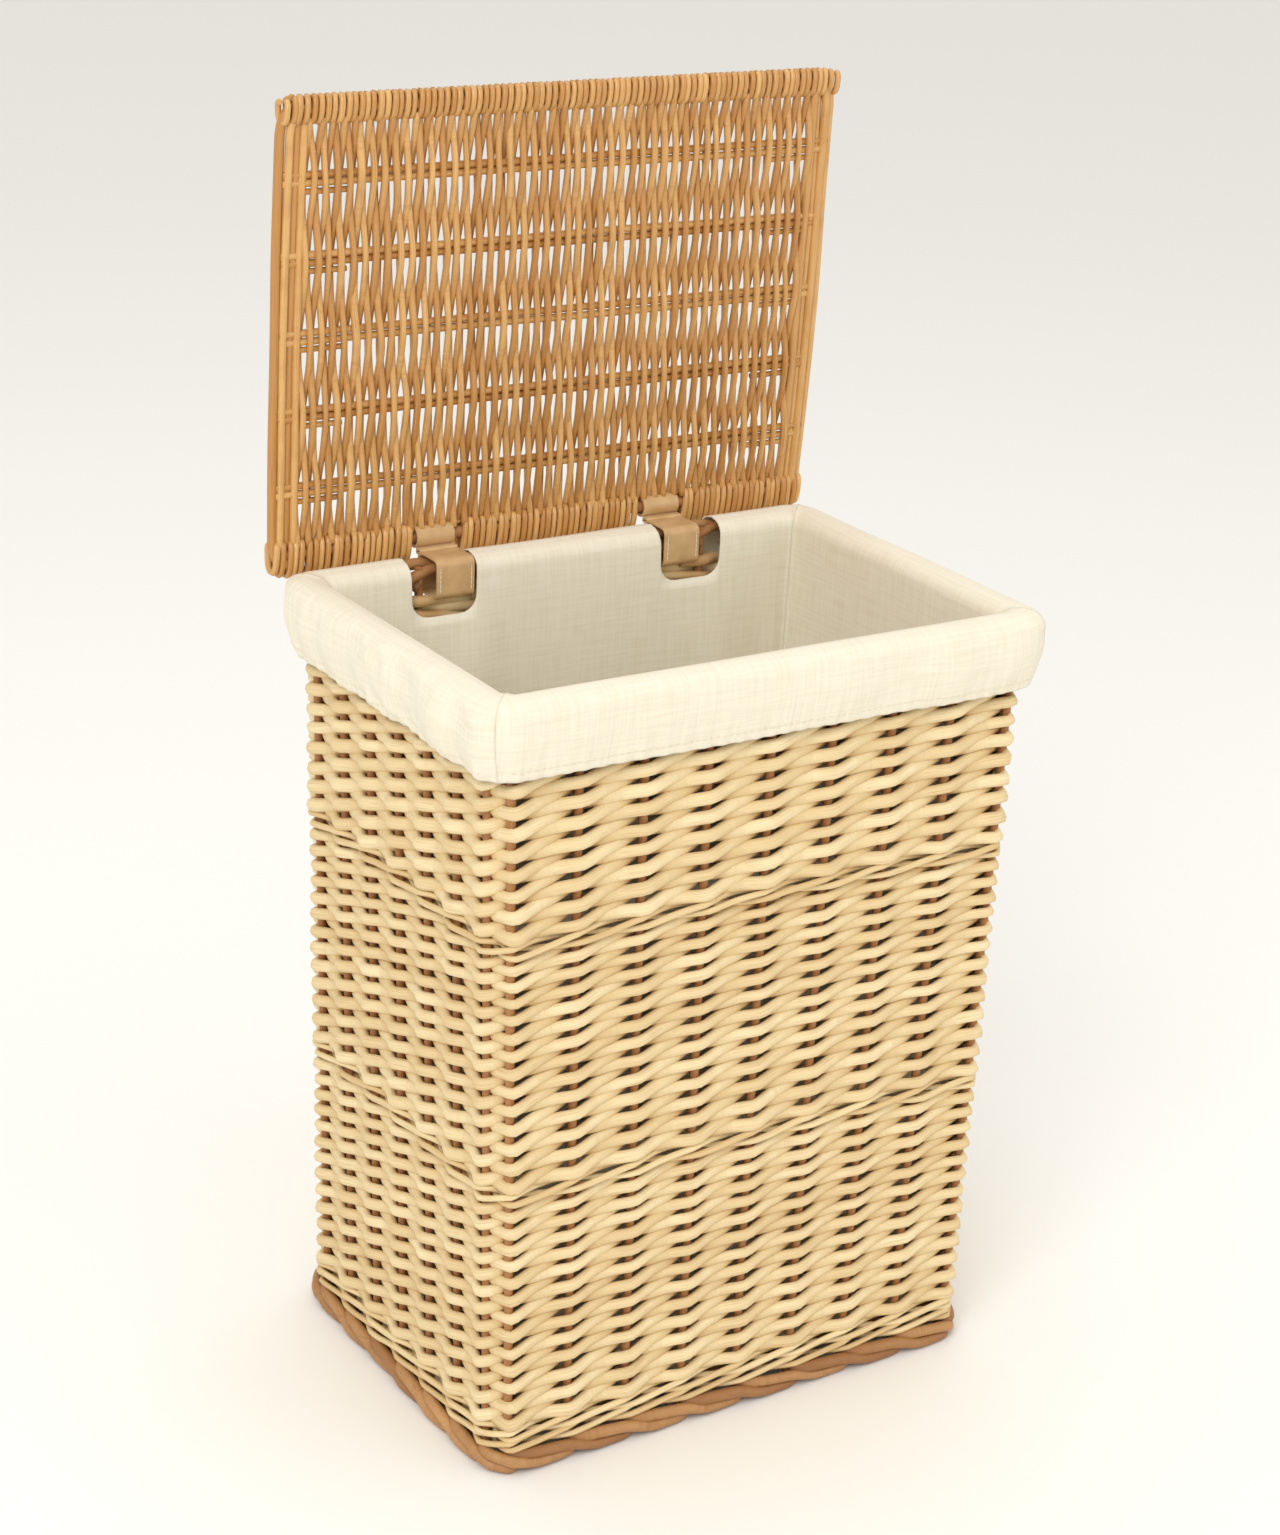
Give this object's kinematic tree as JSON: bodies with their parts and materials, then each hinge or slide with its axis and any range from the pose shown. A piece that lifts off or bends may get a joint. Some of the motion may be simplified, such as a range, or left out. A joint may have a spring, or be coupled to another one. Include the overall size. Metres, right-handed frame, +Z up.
{
  "type": "laundry basket",
  "caption": "Tall rectangular woven willow laundry basket with a cloth liner folded over the rim and a hinged woven lid on two leather straps.",
  "frame": {"origin": "centre of the basket's footprint, on the floor", "axes": "+Z up; -Y is the wide front face; the lid hinges along the back rim at +Y; X runs along the hinge"},
  "size_m": [0.474, 0.342, 0.9436],
  "materials": {
    "white_willow": "stripped pale willow rods, satin, woven",
    "buff_willow": "boiled brown willow rods, satin",
    "honey_willow": "stained honey-coloured willow rods, thin lacquer",
    "cotton_calico": "unbleached plain-woven cotton calico, matt",
    "tan_leather": "tan leather strap with sewn edges, satin"
  },
  "bodies": {
    "basket": {"foot_border": "buff_willow", "upsett": "white_willow", "lower_weave": "white_willow", "lower_wale": "white_willow", "middle_weave": "white_willow", "upper_wale": "white_willow", "upper_weave": "white_willow", "top_border": "buff_willow", "stakes_front": "buff_willow", "stakes_back": "buff_willow", "stakes_left": "buff_willow", "stakes_right": "buff_willow", "base_weave": "buff_willow", "base_sticks": "buff_willow", "liner_front": "cotton_calico", "liner_right": "cotton_calico", "liner_back": "cotton_calico", "liner_left": "cotton_calico", "liner_bottom": "cotton_calico", "strap_left": "tan_leather", "strap_right": "tan_leather"},
    "lid": {"lid_back_wrap": "honey_willow", "lid_back_bar": "honey_willow", "lid_front_wrap": "honey_willow", "lid_front_bar": "honey_willow", "lid_side_rods_left": "honey_willow", "lid_side_rods_right": "honey_willow", "lid_weave": "honey_willow", "lid_cross_pair_1": "honey_willow", "lid_cross_pair_2": "honey_willow", "lid_cross_pair_3": "honey_willow", "lid_cross_pair_4": "honey_willow", "lid_cross_pair_5": "honey_willow", "lid_short_rods": "honey_willow"}
  },
  "joints": [
    {"name": "lid_hinge", "type": "hinge", "parent": "basket", "child": "lid", "pos_m": [0, 0.171, 0.608], "axis": [1, 0, 0], "range_deg": [-7, 87]}
  ]
}
